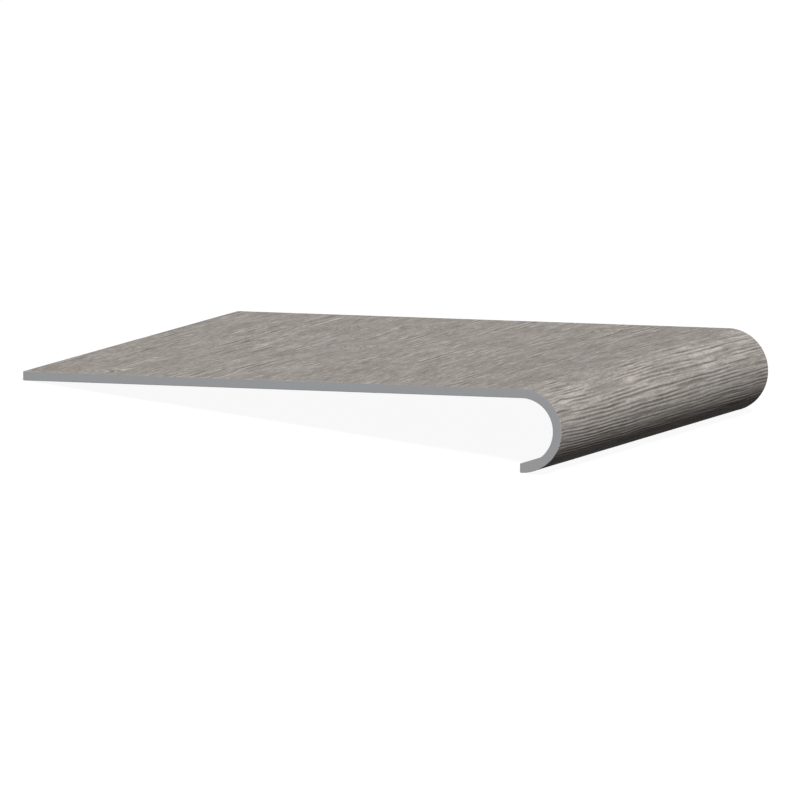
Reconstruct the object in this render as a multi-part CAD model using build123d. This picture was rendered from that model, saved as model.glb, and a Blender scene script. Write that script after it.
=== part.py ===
"""Stair tread overlay: a thin wood-look panel whose front edge is bent round into a nose.

The section is drawn level, with the walking surface along X and the nose at +X, and is carried along Y.
The finished piece is then tipped about its back edge and set down the way it lies loose on a floor:
on the lower corner of that edge and on the toe of the lip under the nose.
"""

import os
from math import atan2, degrees

from build123d import *

# Driving dimensions, in millimetres and degrees
LENGTH = 343.0  # end to end, along the stair
DEPTH = 305.0  # back edge to the front of the nose
THICKNESS = 5.0  # the panel, and the wall all round the nose
NOSE_HEIGHT = 45.0  # walking surface to the bottom of the lip
LIP_RETURN = 1.0  # how far the lip runs back past the middle of the nose
LIP_END_HEIGHT = 4.9  # height of the lip's cut end
LIP_FLAT_START = 52.0  # how far below level the inside of the bend turns into the flat of the lip

# The nose is a half ring: its outside and inside share one middle
outer_radius = NOSE_HEIGHT / 2
inner_radius = outer_radius - THICKNESS
middle_x = DEPTH - outer_radius
middle_z = THICKNESS - outer_radius
bottom_z = THICKNESS - NOSE_HEIGHT
toe_x = middle_x - LIP_RETURN


def draw_section():
    """The end face, level, with the lower corner of the back edge at the origin"""
    middle = (middle_x, middle_z)
    with BuildSketch(Plane.XZ) as section:
        with BuildLine():
            Polyline((middle_x, 0), (0, 0), (0, THICKNESS), (middle_x, THICKNESS))
            outside = CenterArc(middle, outer_radius, 90, -180)
            inside = CenterArc(middle, inner_radius, 90, -(90 + LIP_FLAT_START))
            Polyline(outside @ 1, (toe_x, bottom_z), (toe_x, bottom_z + LIP_END_HEIGHT), inside @ 1)
        make_face()
    return section.sketch


def set_down(overlay):
    """Tips the level piece until its toe is on the floor with its back edge, then centres it there"""
    tip = degrees(atan2(-bottom_z, toe_x))
    resting = overlay.rotate(Axis.Y, -tip)
    box = resting.bounding_box()
    return resting.moved(Location((-box.center().X, -box.center().Y, -box.min.Z)))


def main():
    level = extrude(draw_section(), amount=LENGTH / 2, both=True)
    os.makedirs("parts", exist_ok=True)
    export_step(set_down(level), "parts/tread_overlay.step")


main()
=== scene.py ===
# %% [markdown]
# The looks of a stair tread overlay
#
# A stair tread overlay is a thin sheet of rigid vinyl with a printed wood face. Its front edge is bent
# round into a nose, so that the sheet hooks over the front of an old stair tread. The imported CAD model
# gives the frame: its size, its place and the way it rests on the floor. This lesson builds the skin that
# people see around that frame: the printed and embossed wood face, the bare grey core at the cut edges,
# and the light and the camera.

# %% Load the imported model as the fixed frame
from math import atan2, cos, degrees, pi, radians, sin

import bpy
import numpy as np
from mathutils import Matrix, Vector


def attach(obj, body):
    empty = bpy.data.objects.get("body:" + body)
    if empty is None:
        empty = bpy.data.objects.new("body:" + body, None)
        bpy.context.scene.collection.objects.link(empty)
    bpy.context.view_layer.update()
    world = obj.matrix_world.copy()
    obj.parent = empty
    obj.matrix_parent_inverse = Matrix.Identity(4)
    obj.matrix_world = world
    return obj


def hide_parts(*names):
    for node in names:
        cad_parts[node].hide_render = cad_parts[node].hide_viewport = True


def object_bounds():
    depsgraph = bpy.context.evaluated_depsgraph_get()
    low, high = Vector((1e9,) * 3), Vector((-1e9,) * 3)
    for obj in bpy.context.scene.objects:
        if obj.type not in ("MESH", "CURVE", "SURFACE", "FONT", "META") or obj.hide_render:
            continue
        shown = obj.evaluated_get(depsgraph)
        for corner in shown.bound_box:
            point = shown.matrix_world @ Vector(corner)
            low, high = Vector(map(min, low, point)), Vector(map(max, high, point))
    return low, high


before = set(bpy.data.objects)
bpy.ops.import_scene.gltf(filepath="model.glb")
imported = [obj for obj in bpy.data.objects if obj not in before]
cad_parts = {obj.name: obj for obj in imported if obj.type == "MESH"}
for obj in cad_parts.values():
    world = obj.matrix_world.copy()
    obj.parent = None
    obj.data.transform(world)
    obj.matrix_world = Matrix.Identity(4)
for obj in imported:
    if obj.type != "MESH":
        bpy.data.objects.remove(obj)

MM = 0.001
NODE = "tread_overlay"
cad_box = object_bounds()
print("CAD box in mm:", [[round(value / MM, 2) for value in corner] for corner in cad_box])

# %% [markdown]
# The section
#
# The piece is one section carried along its length. These are the section's own sizes, as it lies on a
# stair: the walking surface level, the nose at the right. Loose on a floor it tips about its back edge
# until the toe of its lip touches down, so everything drawn level is turned by that angle and then put
# where the frame has it.

# %% Sizes of the section, in millimetres
DEPTH = 305.0
THICKNESS = 5.0
NOSE_HEIGHT = 45.0
LIP_RETURN = 1.0  # how far the lip runs straight back past the half circle
LIP_END_HEIGHT = 4.9
LIP_FLAT_START = radians(90 + 52)  # how far round the nose the inside of the lip turns straight

nose_radius = NOSE_HEIGHT / 2
inner_radius = nose_radius - THICKNESS
top_run = DEPTH - nose_radius
middle_z = THICKNESS - nose_radius
toe = (top_run - LIP_RETURN, THICKNESS - NOSE_HEIGHT)
whole_run = top_run + pi * nose_radius + LIP_RETURN
length = (cad_box[1].y - cad_box[0].y) / MM
tip = atan2(-toe[1], toe[0])
print(f"length {length:.1f} mm, face {whole_run:.1f} mm round, tipped {degrees(tip):.2f} degrees")

# %% Turn and place what is drawn level
turn = np.array([[cos(tip), 0, -sin(tip)], [0, 1, 0], [sin(tip), 0, cos(tip)]])
back_x = cad_box[0].x / MM + THICKNESS * sin(tip)


def set_down(x, y, z):
    """Turns level points about the back edge by the tip angle, moves them to the frame's place and gives
    them in metres."""
    level = np.stack(np.broadcast_arrays(x, y, z), -1)
    return (level @ turn.T + (back_x, 0, 0)) * MM


corners = set_down([0, toe[0]], 0, [0, toe[1]])
print("back edge and toe stand at heights of", np.round(corners[:, 2] / MM, 3), "mm")

# %% [markdown]
# The two sides of the sheet
#
# A bent sheet is easiest to think of as a flat strip: how far along the face from the back edge (the run)
# and how deep in the thickness. One function bends the outside of the strip, one bends the inside, and
# every point of the wall lies on the straight line between them. Drawing flat and bending last keeps the
# wall's thickness and the scale of the wood print true all round the nose.

# %% Outside, inside and the wall between
def outside(run):
    """Straight along the top, round half a circle by an angle of arc over radius, then straight back
    along the lip."""
    bend = np.clip((run - top_run) / nose_radius, 0, pi)
    past = np.maximum(run - top_run - pi * nose_radius, 0)
    x = np.minimum(run, top_run) + nose_radius * np.sin(bend) - past
    return x, middle_z + nose_radius * np.cos(bend)


def inside(run):
    """The same path at the inner radius as far as the lip's flat, then a straight line to the top of the
    lip's end."""
    bend = np.clip((run - top_run) / nose_radius, 0, LIP_FLAT_START)
    x = np.minimum(run, top_run) + inner_radius * np.sin(bend)
    z = middle_z + inner_radius * np.cos(bend)
    flat_start = top_run + nose_radius * LIP_FLAT_START
    share = np.clip((run - flat_start) / (whole_run - flat_start), 0, 1)
    return x + (toe[0] - x) * share, z + (toe[1] + LIP_END_HEIGHT - z) * share


def wall(run, height):
    """A point that is height mm above the inside, on the straight line from the inside to the outside."""
    (x0, z0), (x1, z1) = inside(run), outside(run)
    share = height / THICKNESS
    return x0 + (x1 - x0) * share, z0 + (z1 - z0) * share


nose_x, nose_z = wall(np.array([top_run + nose_radius * pi / 2]), np.array([THICKNESS]))
print(f"front of the nose at x {nose_x[0]:.1f}, z {nose_z[0]:.1f} mm on the level section")

# %% [markdown]
# The figure of the wood
#
# The face is printed like a plank of greyed oak sawn along the grain, and pressed so that the dark lines
# of the print lie in shallow furrows. A plank shows the growth rings of its tree as the level lines of a
# smooth field, so the figure is worked out as such a field: the distance across the grain, pushed about
# by slow random hills. Where a steep hill stands, the lines close round it into the pointed flames that a
# sawn plank has, and where the field is nearly level they part round an eye. Random strokes that follow
# the field are the lines: they swell, fade, part and meet as real grain does, which even waves would not.

# %% Smooth random hills
def eased(share):
    """A step from 0 to 1 with a level start and end: s * s * (3 - 2 * s)."""
    return share * share * (3 - 2 * share)


def hills(run, along, wide, long, seed):
    """Random heights from -1 to 1 on a lattice with cells of wide by long mm. Between the crossings, the
    four nearest heights are blended by the eased place within the cell."""
    u, v = run / wide, along / long
    i, j = np.floor(u).astype(int), np.floor(v).astype(int)
    f, g = eased(u - i), eased(v - j)
    lattice = (int(whole_run / wide) + 2, int(length / long) + 2)
    heights = np.random.default_rng(seed).uniform(-1, 1, lattice)
    near = heights[i, j] * (1 - f) + heights[i + 1, j] * f
    far = heights[i, j + 1] * (1 - f) + heights[i + 1, j + 1] * f
    return near * (1 - g) + far * g


def layered_hills(run, along, layers, first_seed):
    """The sum of several hills. Each layer gives its size across the grain and along it in mm and its
    rise, and has a seed of its own."""
    seeded = enumerate(layers, first_seed)
    return sum(rise * hills(run, along, wide, long, seed) for seed, (wide, long, rise) in seeded)


print("an eased step at a quarter, a half and its end:", eased(np.array([0.25, 0.5, 1.0])))

# %% Strokes with random slopes
START = 20.0  # value of the growth field at the back edge in mm, so that no hill takes it below 0


def strokes(across, along, wide, long, weakest, seed):
    """Parallel lattice lines, wide mm apart, carry random slopes that change about every long mm, each
    line from a start of its own. The value is the slope of the nearest line on either side times the
    distance from it, blended by the eased nearness. The slopes lie between the weakest and 1, and turn
    over from line to line, so a weakest of 0 gives dark and light lines in strict turn, and -1 gives
    lines without order."""
    chance = np.random.default_rng(seed)
    first = np.floor(across / wide).astype(int)
    lines = int((whole_run + 2 * START) / wide) + 2
    signs = (-1) ** np.arange(lines)
    slopes = chance.uniform(weakest, 1, (lines, int(length / long) + 3)) * signs[:, None]
    starts = chance.uniform(0, 1, lines)
    value = np.zeros(across.shape)
    for line in (first, first + 1):
        place = along / long + starts[line]
        knot = np.floor(place).astype(int)
        turn_over = eased(place - knot)
        slope = slopes[line, knot] * (1 - turn_over) + slopes[line, knot + 1] * turn_over
        distance = across / wide - line
        value += slope * distance * eased(1 - np.abs(distance))
    return value


print(f"strokes have room for a field of up to {whole_run + 2 * START:.0f} mm")

# %% Hills, flames and eyes of this plank, and bands of painted shade and painted highlight
DRIFT_SEED = 1
# Slow hills that push the growth lines about: size across the grain and along it, and rise, all in mm
DRIFT = ((70.0, 190.0, 4.0), (20.0, 80.0, 1.2), (6.0, 28.0, 0.35), (3.0, 13.0, 0.15))
# Flames of the figure: run, place along the length, half width, half length and rise, all in mm
FLAMES = (
    (97.0, 290.0, 14.0, 10.0, 12.0),
    (114.0, 306.0, 12.0, 8.0, 9.0),
    (217.0, 316.0, 11.0, 9.0, 10.0),
    (120.0, 190.0, 14.0, 12.0, 8.0),
    (150.0, 120.0, 7.0, 80.0, 5.0),
    (40.0, 70.0, 6.0, 60.0, 4.5),
    (38.0, 27.0, 9.0, 8.0, 8.0),
    (12.0, 148.0, 5.0, 9.0, 3.5),
)
# Eyes that the lines part round: run, place along the length, half width and half length in mm, strength,
# and shade, which is below 0 where the eye is pale. The last two have no strength and are not eyes of the
# wood but painted light: a broad band of painted shade on the top before the nose, and a band of painted
# highlight along the upper curve of the nose.
EYES_AND_PAINTED_LIGHT = (
    (302.0, 17.0, 2.6, 9.0, 0.85, -0.15),
    (300.5, 130.0, 2.2, 7.0, 0.7, -0.35),
    (300.0, 190.0, 2.6, 22.0, 0.5, 0.45),
    (300.0, 75.0, 1.8, 16.0, 0.4, 0.4),
    (23.0, 135.0, 4.0, 12.0, 0.3, 0.5),
    (168.8, 60.0, 1.2, 24.0, 0.2, 0.6),
    (62.0, 192.0, 1.2, 14.0, 0.2, 0.5),
    (136.0, 75.0, 5.0, 9.0, 0.2, -0.3),
    (262.0, 171.0, 45.0, 400.0, 0.0, 0.1),
    (297.0, 171.0, 10.0, 400.0, 0.0, -0.05),
)
print(f"{len(DRIFT)} sizes of hill, {len(FLAMES)} flames, {len(EYES_AND_PAINTED_LIGHT)} eyes and shades")

# %% Growth field
def drift(run, along):
    """The sum of the slow hills."""
    return layered_hills(run, along, DRIFT, DRIFT_SEED)


def bell(run, along, at, place, wide, long):
    """A smooth hump of height 1: e to the power of minus the squared distance across, in half widths,
    minus the squared distance along, in half lengths."""
    return np.exp(-(((run - at) / wide) ** 2) - ((along - place) / long) ** 2)


def growth(run, along):
    """The run plus the slow hills plus a hump for each flame. In each eye the distance from its middle
    line counts for less, by the eye's strength times its own hump, which spreads the lines there and
    crowds them round it."""
    flames = sum(rise * bell(run, along, *shape) for *shape, rise in FLAMES)
    eyes = sum(strength * (run - shape[0]) * bell(run, along, *shape) for *shape, strength, _ in EYES_AND_PAINTED_LIGHT)
    return START + run + drift(run, along) + flames - eyes


sample = np.meshgrid(np.linspace(0, whole_run, 400), np.linspace(0, length, 200), indexing="ij")
sampled_growth = growth(*sample)
print(f"growth field from {sampled_growth.min():.1f} to {sampled_growth.max():.1f} mm")

# %% Where the furrows are open
NOSE_FADE = 28.0  # mm of run from the start of the nose to where its own values hold
PATCH_SEED = 21
# Patches of open furrows: size across the grain and along it in mm, and weight
PATCHES = ((8.0, 40.0, 0.8), (3.0, 18.0, 0.35))
TOP_OPEN = 0.45
NOSE_OPEN = 0.9
LEAST_OPEN = 0.12
NOSE_EVEN = 0.7  # share of the patches that is lost on the nose


def on_nose(run):
    """0 on the top, rising to 1 a little way round the nose."""
    return eased(np.clip((run - top_run) / NOSE_FADE, 0, 1))


def openness(run, along):
    """How strong the furrows are, up to 1, by hills much longer along the grain than across it. On the
    top that gives patches of lines with plain wood between. On the nose the middle value is higher and
    the hills count for less, so there is hardly a gap."""
    nose = on_nose(run)
    patches = layered_hills(run, along, PATCHES, PATCH_SEED) * (1 - NOSE_EVEN * nose)
    return np.clip(TOP_OPEN + (NOSE_OPEN - TOP_OPEN) * nose + patches, LEAST_OPEN, 1)


print(f"mean openness over the face {openness(*sample).mean():.2f}")

# %% Furrows
STROKE_SEED = 61
# Strokes that make the furrows: distance apart and length in mm, weakest slope, weight on top and nose
STROKES = ((0.96, 36.0, -0.5, 0.22, 1.6), (2.0, 25.0, -1.0, 0.83, 0.5))
FURROW_GAIN = 3.6
RIDGE = -0.45  # where the ridges are cut flat, a furrow's bed being 1
MEAN_LINE = 0.07


def furrows(run, along):
    """The weighted strokes on the growth field, made steeper, cut flat at the ridges and at a furrow's
    bed, and taken less their mean, so that open and plain wood are equally bright on the whole. Each eye
    is sunk by its bell times its shade. The last two rows of the table are painted shade and a painted
    highlight, laid in the same way: the first darkens and sinks the top before the nose a little, the
    second lightens and lifts the upper curve of the nose a little."""
    field, nose = growth(run, along), on_nose(run)
    lines = 0
    for seed, (wide, long, weakest, top_weight, nose_weight) in enumerate(STROKES, STROKE_SEED):
        weight = top_weight + (nose_weight - top_weight) * nose
        lines = lines + weight * strokes(field, along, wide, long, weakest, seed)
    # The eyes' shades are print; the last two rows add painted shade before the nose and a painted
    # highlight along it
    shades = sum(shade * bell(run, along, *shape) for *shape, _, shade in EYES_AND_PAINTED_LIGHT)
    lines = np.clip(FURROW_GAIN * lines, RIDGE, 1) - MEAN_LINE
    return np.clip(lines * openness(run, along) + shades, -1, 1)


sampled_furrows = furrows(*sample)
print(f"furrows over the face: mean {sampled_furrows.mean():.3f}, spread {sampled_furrows.std():.3f}")

# %% [markdown]
# Stations of the grid
#
# The skin is one closed grid: stations round the section times stations along the length. A cut sheet has
# no knife-sharp edges, so each long edge and each end is eased by a quarter round of a few tenths of a
# millimetre. That catches a thin line of light. The round is made by drawing the section a little
# smaller, with the same corner middles, as the grid nears each end. On the face the lines of the grid
# follow the grain, because furrows that cross the grid at a slant would come out as rows of beads.

# %% Stations round the section
TOP_STEP = 0.56
NOSE_STEP = 0.34
CORE_STEP = 14.0
NOSE_INSIDE_STEP = 2.0
CORNER = 0.32  # radius of the eased long edges


def spread(start, stop, step):
    """Evenly spread places from start to stop, at most step apart."""
    return np.linspace(start, stop, int(np.ceil((stop - start) / step)) + 1)


def guarded(start, stop, step):
    """The same with one more place close to each end, which keeps the shading of the eased edge from
    spreading."""
    guard = 2 * CORNER
    return np.concatenate([[start], spread(start + guard, stop - guard, step), [stop]])


back_at, toe_at, low, high = CORNER, whole_run - CORNER, CORNER, THICKNESS - CORNER
face_run = np.concatenate([spread(back_at, top_run, TOP_STEP)[:-1], spread(top_run, toe_at, NOSE_STEP)])
core_run = np.concatenate(
    [guarded(back_at, top_run, CORE_STEP)[:-1], guarded(top_run, toe_at, NOSE_INSIDE_STEP)]
)[::-1]
edge_height = guarded(low, high, THICKNESS / 2)
print(f"{len(face_run)} stations across the face, {len(core_run)} inside")

# %% Stations along the length
ALONG_STEP = 3.6
CURL_STEP = 1.2  # along the length beside the near end, where the figure curls most
CURL_END = 26.0
EASE = 0.25  # radius of the eased ends

# At each end the rows follow a quarter round: how far each lies from the end, and how much it is drawn in
ease_turn = np.radians([0, 30, 60, 90])
near_rows = EASE * (1 - np.cos(ease_turn))
row_inset = EASE * (1 - np.sin(ease_turn))
middle_rows = np.concatenate(
    [guarded(EASE, CURL_END, CURL_STEP)[1:-2], guarded(CURL_END, length - EASE, ALONG_STEP)[:-1]]
)
along_rows = np.concatenate([near_rows, middle_rows, length - near_rows[::-1]])
inset_rows = np.concatenate([row_inset, 0 * middle_rows, row_inset[::-1]])
print(f"{len(along_rows)} stations along the length")

# %% Loop round the section: a middle line with an outward direction
corner_turn = np.radians([60, 30])
# Each stretch of the loop: its runs, its heights and the angle of its outward direction
stretches = (
    (face_run, high, pi / 2),
    (toe_at, high, corner_turn),
    (toe_at, edge_height[::-1], 0),
    (toe_at, low, -corner_turn[::-1]),
    (core_run, low, -pi / 2),
    (back_at, low, corner_turn - pi),
    (back_at, edge_height, pi),
    (back_at, high, pi - corner_turn[::-1]),
)
parts = [np.broadcast_arrays(*np.atleast_1d(*stretch)) for stretch in stretches]
loop_run, loop_height, loop_turn = (np.concatenate(column) for column in zip(*parts))
print(len(loop_run), "stations round the section")

# %% [markdown]
# The skin as one closed mesh
#
# Every vertex is worked out in whole arrays: the loop is pushed outwards by the corner radius less the
# inset of its row, the face is pressed in by the furrows, and the strip is bent and set down. The furrows
# are real relief, about two tenths of a millimetre deep, because grain that is only painted looks flat
# where light rakes across the nose. The ends are closed with triangles between the two sides of the wall.

# %% Grid lines that follow the grain
FADE = 25.0  # mm from each edge of the face over which the grid lines turn straight
ROUNDS = 8


def with_the_grain(station, along):
    """The run where the run plus the drift equals the station: the station less the drift there, found by
    putting the last answer back in. The drift fades out towards the back edge and the toe, which stay
    straight."""
    from_edge = np.minimum(station - back_at, toe_at - station)
    fade = eased(np.clip(from_edge / FADE, 0, 1))
    run = station + 0 * along
    for _ in range(ROUNDS):
        run = station - fade * drift(run, along)
    return run


grid_along = np.repeat(along_rows[:, None], len(loop_run), axis=1)
on_face = np.arange(len(loop_run)) < len(face_run)
middle_run = np.where(on_face, with_the_grain(loop_run, grid_along), loop_run)
steps = np.diff(middle_run[:, on_face])
print(f"steps across the face from {steps.min():.2f} to {steps.max():.2f} mm")

# %% Vertices
RELIEF = 0.22  # from ridge to furrow's bed, in mm
END_FADE = 2.0  # mm from each end over which the furrows run out, which leaves the cut edges clean

reach = CORNER - inset_rows[:, None]
grid_run = middle_run + np.cos(loop_turn) * reach
grid_height = loop_height + np.sin(loop_turn) * reach
furrow = np.where(on_face, furrows(grid_run, grid_along), -1)
from_end = np.minimum(grid_along, length - grid_along)
depth = RELIEF * (furrow + 1) / 2 * eased(np.clip(from_end / END_FADE, 0, 1))
grid_x, grid_z = wall(grid_run, grid_height - depth)
points = set_down(grid_x, grid_along - length / 2, grid_z)
print(f"{points.shape[0]} rows of {points.shape[1]} vertices, furrows up to {depth.max():.3f} mm deep")

# %% Triangles of an end: the face and the rest of the loop, zipped together
def zipped(upper, lower, edge):
    """Two rows of stations run side by side from the back edge to the toe. Each step along one row makes
    a triangle with the station that the other row has reached at the middle of that step. The lower row
    also holds the stations of the two long edges, and its steps there are joined to the face at the run
    called edge from each of them."""
    upper_step = (loop_run[upper[1:]] + loop_run[upper[:-1]]) / 2
    lower_step = np.clip((loop_run[lower[1:]] + loop_run[lower[:-1]]) / 2, edge, whole_run - edge)
    below = lower[np.searchsorted(lower_step, upper_step)]
    above = upper[np.searchsorted(upper_step, lower_step)]
    down = np.stack([upper[:-1], upper[1:], below], -1)
    return np.concatenate([down, np.stack([lower[1:], lower[:-1], above], -1)])


rows, columns = grid_run.shape
end = zipped(np.arange(columns)[on_face], np.arange(columns)[~on_face][::-1], CORNER + TOP_STEP)
print(f"{len(end)} triangles in each end")

# %% Faces, closed round the section and at both ends
index = np.arange(rows * columns).reshape(rows, columns)
beside = np.roll(index, -1, axis=1)
quads = np.stack([index[:-1], beside[:-1], beside[1:], index[1:]], -1).reshape(-1, 4)
caps = np.concatenate([index[0, end[:, ::-1]], index[-1, end]])
mesh = bpy.data.meshes.new("stair_tread_overlay")
mesh.from_pydata(points.reshape(-1, 3), [], quads.tolist() + caps.tolist())
overlay = bpy.data.objects.new("stair_tread_overlay", mesh)
bpy.context.scene.collection.objects.link(overlay)
print(f"{len(quads)} quads, {len(caps)} triangles at the ends, {2 * len(quads) + len(caps)} in all")

# %% Smooth sides, flat ends, and the face apart from the core
FACE_SLOT, CORE_SLOT = 0, 1
face_quads = np.tile(np.arange(columns) < len(face_run) - 1, rows - 1)
slots = np.append(np.where(face_quads, FACE_SLOT, CORE_SLOT), [CORE_SLOT] * len(caps))
smooth = np.append(np.ones(len(quads), bool), [False] * len(caps))
mesh.polygons.foreach_set("material_index", slots)
mesh.polygons.foreach_set("use_smooth", smooth)
print(f"{face_quads.sum()} of the quads are the printed face")

# %% [markdown]
# What the print follows
#
# The print has to run with the furrows, also round the flames and over the nose, so the mesh carries what
# the material needs: a map in millimetres along and across the growth lines, and values at each vertex
# for the furrow, for warm spots, and for the mottle between the lines. Values on the mesh follow the
# bent sheet wherever it goes, which a pattern placed in space would not.

# %% Map and values on the mesh
NOSE_CALM = 0.3  # how much weaker the mottle is on the nose, where the lines stand closer
# Warm spots of the print: run, place along the length, half width and half length in mm, and strength
WARM_SPOTS = ((18.0, 18.0, 9.0, 14.0, 0.6), (300.5, 130.0, 3.5, 6.0, 0.4))
WARM_ALL_OVER = 0.15
WARM_SEED = 41
# Hills of warmth: size across the grain and along it in mm, and rise
WARM_HILLS = ((17.0, 45.0, 0.08),)
warmth = sum(strength * bell(grid_run, grid_along, *shape) for *shape, strength in WARM_SPOTS)
warmth = warmth + WARM_ALL_OVER + layered_hills(grid_run, grid_along, WARM_HILLS, WARM_SEED)
mottle = 1 - NOSE_CALM * on_nose(grid_run)
flat_map = np.stack([grid_along, growth(grid_run, grid_along)], -1).reshape(-1, 2)
corner_vertex = np.empty(len(mesh.loops), np.int32)
mesh.loops.foreach_get("vertex_index", corner_vertex)
mesh.uv_layers.new(name="print_mm").data.foreach_set("uv", flat_map[corner_vertex].ravel())
for name, values in (("furrow", furrow), ("warmth", warmth), ("mottle", mottle)):
    mesh.attributes.new(name, "FLOAT", "POINT").data.foreach_set("value", values.reshape(-1))
mesh.update()
print("problems found in the mesh:", mesh.validate(verbose=False))

# %% [markdown]
# Helpers for the materials
#
# Colours are written as they look on a screen, in sRGB hex, and shaders work in linear light, so one
# function turns one into the other. Another adds a node and fills its sockets: a socket that it is given
# becomes a link, and anything else becomes the socket's value.

# %% Colours and nodes
def linear(hex_colour):
    """sRGB hex to linear RGBA: below 0.04045 divide by 12.92, above it raise (c + 0.055) / 1.055 to the
    power 2.4."""
    srgb = np.array([int(hex_colour[place:place + 2], 16) for place in (1, 3, 5)]) / 255
    return (*np.where(srgb <= 0.04045, srgb / 12.92, ((srgb + 0.055) / 1.055) ** 2.4), 1.0)


def add_node(tree, kind, inputs, **settings):
    """Adds a shader node, sets its options, and links or fills its inputs."""
    node = tree.nodes.new("ShaderNode" + kind)
    for name, value in settings.items():
        setattr(node, name, value)
    for name, value in inputs.items():
        if isinstance(value, bpy.types.NodeSocket):
            tree.links.new(value, node.inputs[name])
        else:
            node.inputs[name].default_value = value
    return node


WHITE = linear("#ffffff")
print("white and middle grey in linear light:", np.round(WHITE, 3), np.round(linear("#808080"), 3))

# %% [markdown]
# Printed vinyl film
#
# The face of the real sheet is a vinyl film printed with greyed oak under a clear matt wear layer, pressed
# on a steel plate that carries the same grain. To the eye that gives a dull, even sheen, dark lines that
# sit in the furrows, paler wood between them, and soft clouds of light and dark. An image would be the
# usual way to do this. Here the main lines come from the furrows of the mesh, so they can't slip off
# them, and finer lines and fibres are noises stretched along the growth lines.

# %% Main lines of the print, from the furrows
MIDDLE_TONE = 0.5
LINE_TONE = 0.42
film = bpy.data.materials.new("printed_vinyl_film")
film.use_nodes = True
tree = film.node_tree
# Besides the print's lines, the furrow values carry the painted shade before the nose and the painted
# highlight along it
furrow_depth = add_node(tree, "Attribute", {}, attribute_name="furrow").outputs["Fac"]
tone = add_node(
    tree, "Math", {0: furrow_depth, 1: -LINE_TONE, 2: MIDDLE_TONE}, operation="MULTIPLY_ADD"
).outputs[0]
print("tone from", MIDDLE_TONE - LINE_TONE, "to", MIDDLE_TONE + LINE_TONE)

# %% Clouds, fine lines and fibres, each a noise stretched along the grain
NOISE_MIDDLE = 0.5
# Name: length along the grain and width across it in mm, detail, share of the tone, and relief in mm
LAYERS = {
    "clouds": (40.0, 9.0, 4.0, 0.42, 0.0),
    "lines": (12.0, 1.4, 2.0, 0.6, 0.12),
    "fibres": (4.0, 0.7, 1.0, 0.42, 0.03),
}
flat = add_node(tree, "UVMap", {}, uv_map="print_mm").outputs["UV"]
mottle_here = add_node(tree, "Attribute", {}, attribute_name="mottle").outputs["Fac"]
relief = 0.0
for long, wide, detail, share, rise in LAYERS.values():
    place = add_node(tree, "Mapping", {"Vector": flat, "Scale": (1 / long, 1 / wide, 1)}).outputs[0]
    noise = add_node(
        tree, "TexNoise", {"Vector": place, "Scale": 1.0, "Detail": detail}, noise_dimensions="2D"
    ).outputs["Fac"]
    around = add_node(tree, "Math", {0: noise, 1: NOISE_MIDDLE}, operation="SUBTRACT").outputs[0]
    height = add_node(tree, "Math", {0: around, 1: mottle_here}, operation="MULTIPLY").outputs[0]
    tone = add_node(tree, "Math", {0: height, 1: share, 2: tone}, operation="MULTIPLY_ADD").outputs[0]
    relief = add_node(tree, "Math", {0: height, 1: rise, 2: relief}, operation="MULTIPLY_ADD").outputs[0]
print("layers of the print:", ", ".join(LAYERS))

# %% Colour, relief and sheen of the film
WOOD_TONES = ((0.0, "#635d5a"), (0.5, "#918c88"), (1.0, "#bfbbb7"))
WARM_TINT = "#fff8ea"
VINYL_IOR = 1.5
FILM_ROUGHNESS = 0.9
FILM_SPECULAR = 0.03  # level of the shader, low because the wear layer is matt
ramp = add_node(tree, "ValToRGB", {"Fac": tone})
while len(ramp.color_ramp.elements) < len(WOOD_TONES):
    ramp.color_ramp.elements.new(0.5)
for stop, (position, colour) in zip(ramp.color_ramp.elements, WOOD_TONES):
    stop.position = position
    stop.color = linear(colour)
warm = add_node(tree, "Attribute", {}, attribute_name="warmth").outputs["Fac"]
tint = add_node(
    tree,
    "MixRGB",
    {"Fac": warm, "Color1": ramp.outputs["Color"], "Color2": linear(WARM_TINT)},
    blend_type="MULTIPLY",
)
bump = add_node(tree, "Bump", {"Height": relief, "Strength": 1.0, "Distance": MM})
face = tree.nodes["Principled BSDF"]
tree.links.new(tint.outputs["Color"], face.inputs["Base Color"])
tree.links.new(bump.outputs["Normal"], face.inputs["Normal"])
face.inputs["Roughness"].default_value = FILM_ROUGHNESS
face.inputs["IOR"].default_value = VINYL_IOR
face.inputs["Specular IOR Level"].default_value = FILM_SPECULAR
mesh.materials.append(film)
print("film:", [colour for _, colour in WOOD_TONES])

# %% [markdown]
# Rigid vinyl core
#
# Under the film the sheet is one solid core of vinyl filled with ground stone, extruded and then sawn. It
# shows at the ends, the back edge and underneath: a plain cool grey with hardly any shine, and a very
# fine mottle where the saw has opened the filler.

# %% Core material
SPECK = 0.7  # mm across, coarser than the real filler so that it shows at all
SPECK_DETAIL = 3.0
CORE_TONES = ((0.3, "#8f9092"), (0.7, "#939496"))
CORE_ROUGHNESS = 0.75
CORE_SPECULAR = 0.06
core = bpy.data.materials.new("rigid_vinyl_core")
core.use_nodes = True
tree = core.node_tree
place = add_node(tree, "TexCoord", {}).outputs["Object"]
specks = add_node(tree, "TexNoise", {"Vector": place, "Scale": 1 / (SPECK * MM), "Detail": SPECK_DETAIL})
ramp = add_node(tree, "ValToRGB", {"Fac": specks.outputs["Fac"]})
for stop, (position, colour) in zip(ramp.color_ramp.elements, CORE_TONES):
    stop.position = position
    stop.color = linear(colour)
body = tree.nodes["Principled BSDF"]
tree.links.new(ramp.outputs["Color"], body.inputs["Base Color"])
body.inputs["Roughness"].default_value = CORE_ROUGHNESS
body.inputs["IOR"].default_value = VINYL_IOR
body.inputs["Specular IOR Level"].default_value = CORE_SPECULAR
mesh.materials.append(core)
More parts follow.
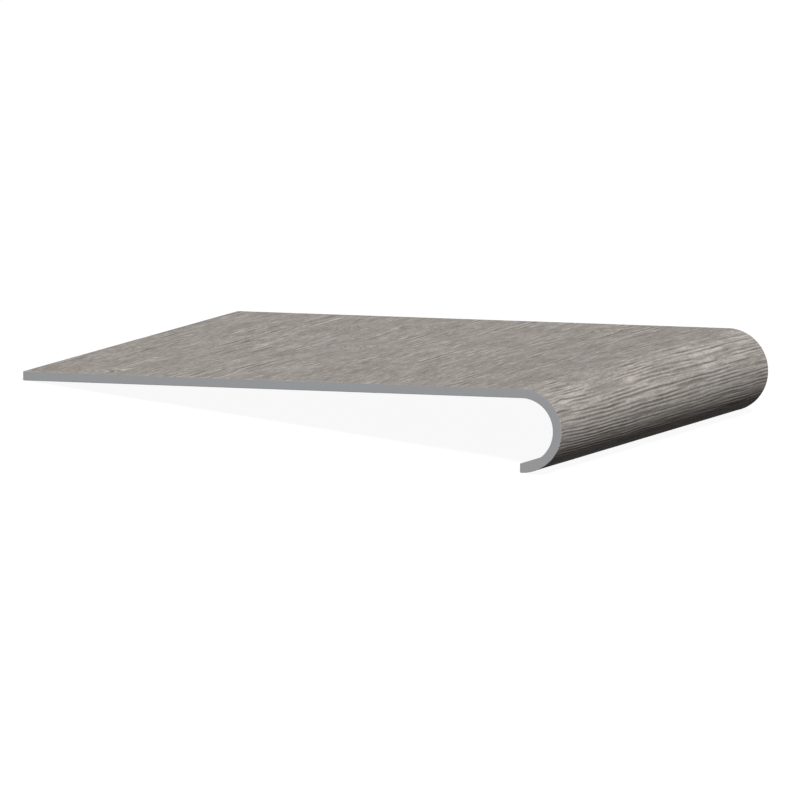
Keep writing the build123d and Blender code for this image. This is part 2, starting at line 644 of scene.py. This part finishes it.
print("materials on the piece:", [material.name for material in mesh.materials])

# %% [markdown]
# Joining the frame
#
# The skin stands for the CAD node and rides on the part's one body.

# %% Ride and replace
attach(overlay, "root")
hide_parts(NODE)
print(overlay.name, "replaces", NODE)

# %% [markdown]
# Floor
#
# The photo has a pure white ground. A floor that is white to every ray would throw so much light up that
# the dark underside of the nose would turn grey, so the floor and the world are white to the camera and
# to reflections, and dim to the light that bounces. Part of the floor's white is its own glow and part is
# lit, so it keeps a soft shadow.

# %% White to the eye, dim to bounced light
FLOOR_SIZE = 6.0  # half of its side, in metres
FLOOR_GLOW = 0.94
FLOOR_LIT = 0.08
FLOOR_BOUNCE = 0.055


def seen_directly(tree):
    """1 for camera, glossy and transmission rays, 0 for the rest: the largest of the three."""
    rays = add_node(tree, "LightPath", {}).outputs
    camera_or_glossy = {0: rays["Is Camera Ray"], 1: rays["Is Glossy Ray"]}
    either = add_node(tree, "Math", camera_or_glossy, operation="MAXIMUM").outputs[0]
    with_transmission = {0: either, 1: rays["Is Transmission Ray"]}
    return add_node(tree, "Math", with_transmission, operation="MAXIMUM").outputs[0]


floor_mesh = bpy.data.meshes.new("floor")
sides = np.array([(-1, -1, 0), (1, -1, 0), (1, 1, 0), (-1, 1, 0)]) * FLOOR_SIZE
floor_mesh.from_pydata(sides, [], [(0, 1, 2, 3)])
floor = bpy.data.objects.new("floor", floor_mesh)
bpy.context.scene.collection.objects.link(floor)
paint = bpy.data.materials.new("white_studio_floor")
paint.use_nodes = True
tree = paint.node_tree
tree.nodes.clear()
glow = add_node(tree, "Emission", {"Color": WHITE, "Strength": FLOOR_GLOW})
lit = add_node(tree, "BsdfDiffuse", {"Color": (FLOOR_LIT,) * 3 + (1,)})
white = add_node(tree, "AddShader", {0: glow.outputs[0], 1: lit.outputs[0]})
dim = add_node(tree, "BsdfDiffuse", {"Color": (FLOOR_BOUNCE,) * 3 + (1,)})
both = add_node(tree, "MixShader", {0: seen_directly(tree), 1: dim.outputs[0], 2: white.outputs[0]})
add_node(tree, "OutputMaterial", {"Surface": both.outputs[0]})
floor_mesh.materials.append(paint)
print(f"floor {2 * FLOOR_SIZE:.0f} m square")

# %% [markdown]
# Light
#
# One large soft lamp at the front right does most of the work: it is brightest on the upper curve of the
# nose and leaves the underside dark, as in the photo. Two weak ones low down, at the far end and behind
# the back edge, keep those edges readable from behind and hardly touch the face. A lamp of strength pi
# straight above a surface shows its colour as it is written, so strengths are given as shares of pi.

# %% Lamps
# Name: direction to the lamp on the level piece, share of pi, and how wide the lamp looks in degrees
LAMPS = {
    "key": ((0.464, -0.625, 0.622), 1.525, 12),
    "far_fill": ((0.0, 1.0, 0.012), 0.5, 4),
    "back_fill": ((-0.985, 0.0, 0.17), 0.16, 4),
}
for name, (direction, share, width) in LAMPS.items():
    lamp = bpy.data.lights.new(name, "SUN")
    lamp.energy = share * pi
    lamp.angle = radians(width)
    holder = bpy.data.objects.new(name, lamp)
    holder.rotation_euler = Vector(turn @ direction).to_track_quat("Z", "Y").to_euler()
    bpy.context.scene.collection.objects.link(holder)
    print(f"{name}: {share} of pi, {width} degrees wide")

# %% World
AMBIENT = 0.08
world = bpy.data.worlds.new("studio")
world.use_nodes = True
tree = world.node_tree
tree.nodes.clear()
dim = add_node(tree, "Background", {"Color": WHITE, "Strength": AMBIENT})
white = add_node(tree, "Background", {"Color": WHITE, "Strength": 1.0})
both = add_node(tree, "MixShader", {0: seen_directly(tree), 1: dim.outputs[0], 2: white.outputs[0]})
add_node(tree, "OutputWorld", {"Surface": both.outputs[0]})
bpy.context.scene.world = world
bpy.context.scene.view_settings.view_transform = "Standard"
print("ambient light", AMBIENT)

# %% [markdown]
# Camera
#
# The photo has almost no perspective, so the camera stands far off with a very long lens. Its angles were
# fitted to the edges of the piece as it is drawn level, and then turned with it, so that the render shows
# the piece as the photo does although it now lies tipped on the floor.

# %% A far camera at the photo's angle
PICTURE = 800  # pixels along each side
AZIMUTH = radians(19.289)
ELEVATION = radians(5.843)
PIXELS_PER_MM = 1.8575
MIDDLE_AT = (397.78, 391.76)  # where the middle of the piece is in the picture, in pixels
DISTANCE = 20000.0
SENSOR = 36.0

level_right = np.array([cos(AZIMUTH), sin(AZIMUTH), 0])
level_back = np.array([sin(AZIMUTH) * cos(ELEVATION), -cos(AZIMUTH) * cos(ELEVATION), sin(ELEVATION)])
level_up = np.cross(level_back, level_right)
right, up, back = (turn @ axis for axis in (level_right, level_up, level_back))
middle = set_down(DEPTH / 2, 0, THICKNESS - NOSE_HEIGHT / 2)
aside = (PICTURE / 2 - MIDDLE_AT[0]) / PIXELS_PER_MM
below = (PICTURE / 2 - MIDDLE_AT[1]) / PIXELS_PER_MM
eye = middle + (back * DISTANCE + right * aside - up * below) * MM

lens = bpy.data.cameras.new("far_camera")
lens.sensor_width = SENSOR
lens.lens = SENSOR * DISTANCE * PIXELS_PER_MM / PICTURE
camera = bpy.data.objects.new("far_camera", lens)
camera.matrix_world = Matrix.Translation(eye) @ Matrix(np.stack([right, up, back], 1)).to_4x4()
bpy.context.scene.collection.objects.link(camera)
bpy.context.scene.camera = camera
print(f"lens {lens.lens:.0f} mm at {DISTANCE * MM:.1f} m")
